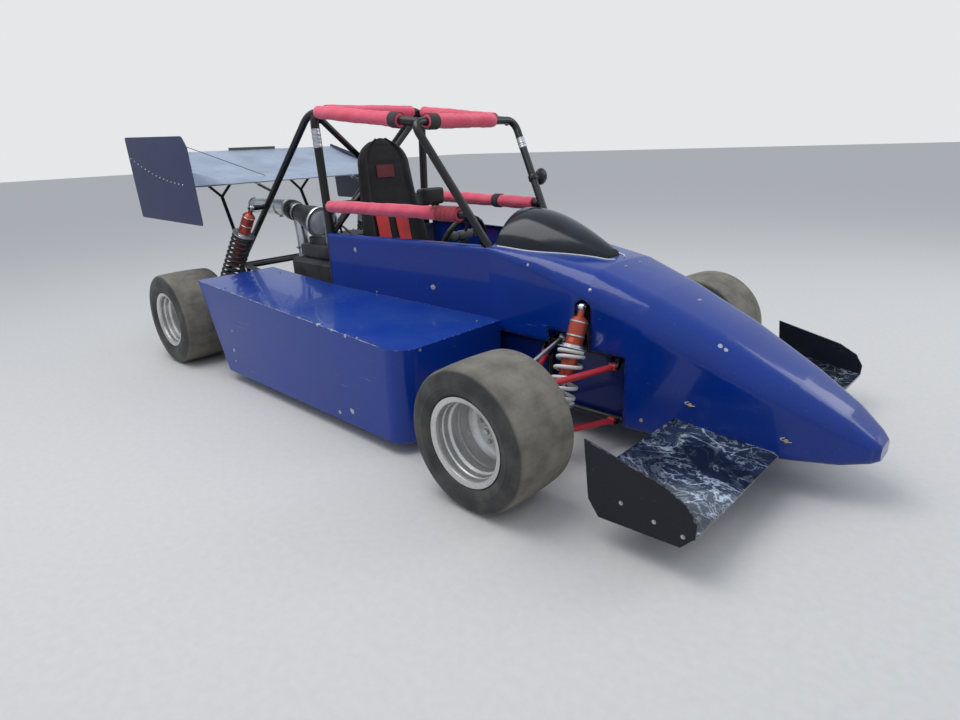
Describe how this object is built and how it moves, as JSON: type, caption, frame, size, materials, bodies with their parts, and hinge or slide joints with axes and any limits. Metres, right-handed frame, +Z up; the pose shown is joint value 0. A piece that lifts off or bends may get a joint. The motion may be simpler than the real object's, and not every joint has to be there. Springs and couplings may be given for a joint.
{
  "type": "open wheel racing car",
  "caption": "Single seat open wheel racing car with a padded roll cage, side pods, outboard coil springs and front and rear wings.",
  "frame": {"origin": "on the ground, at the centre of the bounding box in plan", "axes": "+X forward to the nose, +Y to the car's left, +Z up"},
  "size_m": [3.606, 1.6752, 1.2339],
  "materials": {
    "body_paint": "deep blue gloss paint",
    "plate_paint": "dull dark blue paint",
    "frame_paint": "satin black paint",
    "pad_cloth": "red cloth over foam",
    "cowl_black": "satin black moulding",
    "seat_cloth": "black cloth",
    "belt_webbing": "red webbing",
    "arm_paint": "red paint",
    "damper": "orange red anodised",
    "spun_alloy": "spun and worn",
    "tyre_rubber": "worn slick",
    "raw_steel": "worn steel",
    "engine_cast": "dark castings",
    "sheet_alloy": "bare sheet",
    "wing_marble": "black with pale veins",
    "black_plastic": "satin black"
  },
  "bodies": {
    "chassis": {"chassis_frame": "frame_paint", "roll_cage": "frame_paint", "cage_pads": "pad_cloth", "body_shell": "body_paint", "belly_tub": "body_paint", "firewall": "sheet_alloy", "cowl": "cowl_black", "side_pod_right": "body_paint", "side_pod_left": "body_paint", "seat": "seat_cloth", "harness_belts": "belt_webbing", "rack_housing": "sheet_alloy", "front_upper_arms": "arm_paint", "front_lower_arms": "arm_paint", "front_coilovers": "damper", "rear_coilovers": "damper", "axle_carriers": "sheet_alloy", "radius_arms": "arm_paint", "engine_block": "engine_cast", "intake_duct": "sheet_alloy", "catch_tank": "black_plastic", "mirrors": "black_plastic", "front_wing_planes": "wing_marble", "front_wing_plates": "frame_paint", "rear_wing_plane": "sheet_alloy", "rear_wing_plates": "plate_paint", "wing_stays": "frame_paint"},
    "steering_wheel": {"steering_wheel": "black_plastic", "steering_shaft": "raw_steel"},
    "rack": {"rack_tie_rods": "raw_steel"},
    "knuckle_right": {"front_knuckle_right": "raw_steel"},
    "knuckle_left": {"front_knuckle_left": "raw_steel"},
    "front_wheel_right": {"front_rim_right": "spun_alloy", "front_tyre_right": "tyre_rubber"},
    "front_wheel_left": {"front_rim_left": "spun_alloy", "front_tyre_left": "tyre_rubber"},
    "rear_axle": {"rear_axle_shaft": "raw_steel", "axle_sprocket": "raw_steel", "axle_brake_disc": "raw_steel", "rear_rim_right": "spun_alloy", "rear_rim_left": "spun_alloy", "rear_tyre_right": "tyre_rubber", "rear_tyre_left": "tyre_rubber"}
  },
  "joints": [
    {"name": "steering_turn", "type": "hinge", "parent": "chassis", "child": "steering_wheel", "pos_m": [0.113, 0, 0.62], "axis": [-0.9431, 0, 0.3324], "range_deg": [-120, 120]},
    {"name": "rack_slide", "type": "slide", "parent": "chassis", "child": "rack", "axis": [0, 1, 0], "range_m": [-0.0385, 0.0385]},
    {"name": "steer_right", "type": "hinge", "parent": "chassis", "child": "knuckle_right", "pos_m": [0.913, -0.53, 0.215], "axis": [0, 0, 1], "range_deg": [-20.5, 20.5]},
    {"name": "steer_left", "type": "hinge", "parent": "chassis", "child": "knuckle_left", "pos_m": [0.913, 0.53, 0.215], "axis": [0, 0, 1], "range_deg": [-20.5, 20.5]},
    {"name": "front_right_spin", "type": "hinge", "parent": "knuckle_right", "child": "front_wheel_right", "pos_m": [0.913, -0.7068, 0.2288], "axis": [0, 1, 0], "continuous": true},
    {"name": "front_left_spin", "type": "hinge", "parent": "knuckle_left", "child": "front_wheel_left", "pos_m": [0.913, 0.7068, 0.2288], "axis": [0, 1, 0], "continuous": true},
    {"name": "rear_axle_spin", "type": "hinge", "parent": "chassis", "child": "rear_axle", "pos_m": [-1.298, 0, 0.236], "axis": [0, 1, 0], "continuous": true}
  ],
  "couplings": [
    {"joint": "rack_slide", "follows": "steering_turn", "m_per_rad": -0.018},
    {"joint": "steer_right", "follows": "steering_turn", "ratio": 0.16667},
    {"joint": "steer_left", "follows": "steering_turn", "ratio": 0.16667}
  ]
}
